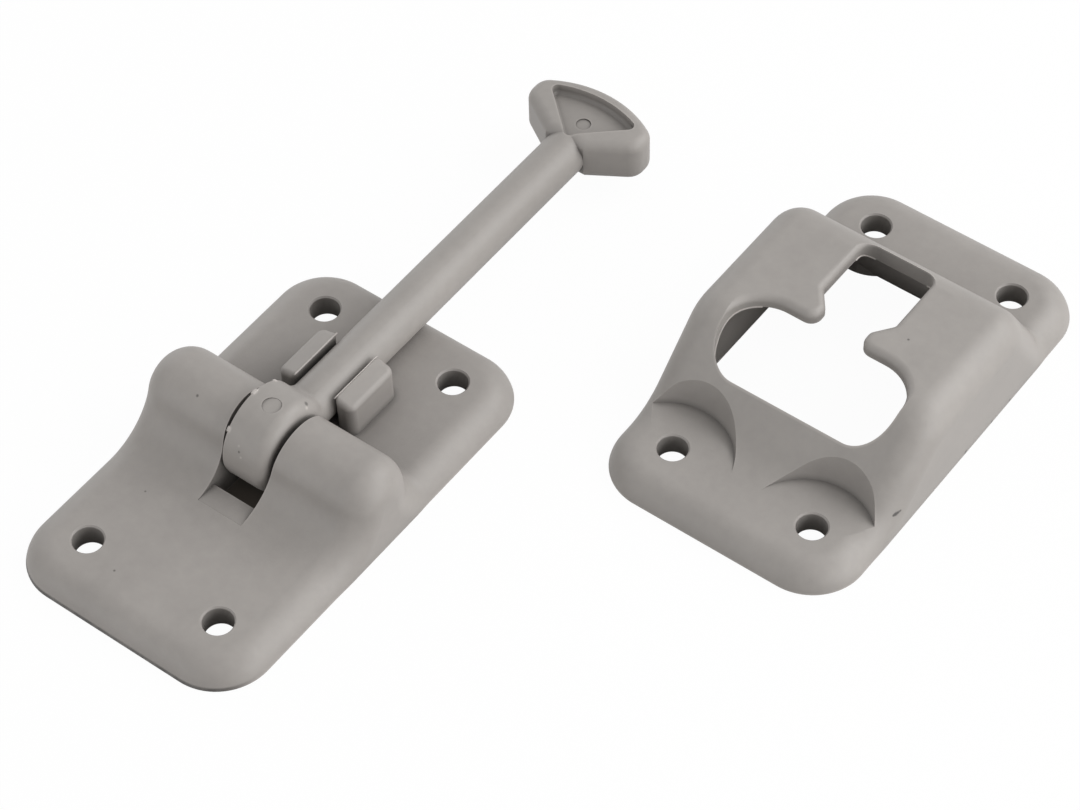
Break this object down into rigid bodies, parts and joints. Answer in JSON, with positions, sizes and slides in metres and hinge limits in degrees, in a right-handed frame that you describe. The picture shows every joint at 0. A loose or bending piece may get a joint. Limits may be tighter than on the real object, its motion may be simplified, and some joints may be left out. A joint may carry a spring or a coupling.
{
  "type": "t-style door holder",
  "caption": "T-style door holder: a wall plate with an arm that folds flat into a clip, and a keyhole receiver for the door that the arm's T head hooks into.",
  "frame": {"origin": "centre of the wall plate's four-screw pattern, on the plate's flat back", "axes": "+Z away from the wall, +X across the wall plate along the hinge pin, +Y along the folded arm, from the hinge towards the T head"},
  "size_m": [0.1048, 0.14, 0.0169],
  "materials": {
    "plate_plastic": "warm grey, as moulded",
    "arm_plastic": "warm grey, as moulded",
    "pin_steel": "drawn wire, bright",
    "receiver_plastic": "warm grey, as moulded"
  },
  "bodies": {
    "plates": {"base_plate": "plate_plastic", "hinge_pin": "pin_steel", "receiver": "receiver_plastic"},
    "arm": {"t_arm": "arm_plastic"}
  },
  "joints": [
    {"name": "arm_hinge", "type": "hinge", "parent": "plates", "child": "arm", "pos_m": [0, 0.0011, 0.008], "axis": [1, 0, 0], "range_deg": [0, 180]}
  ]
}
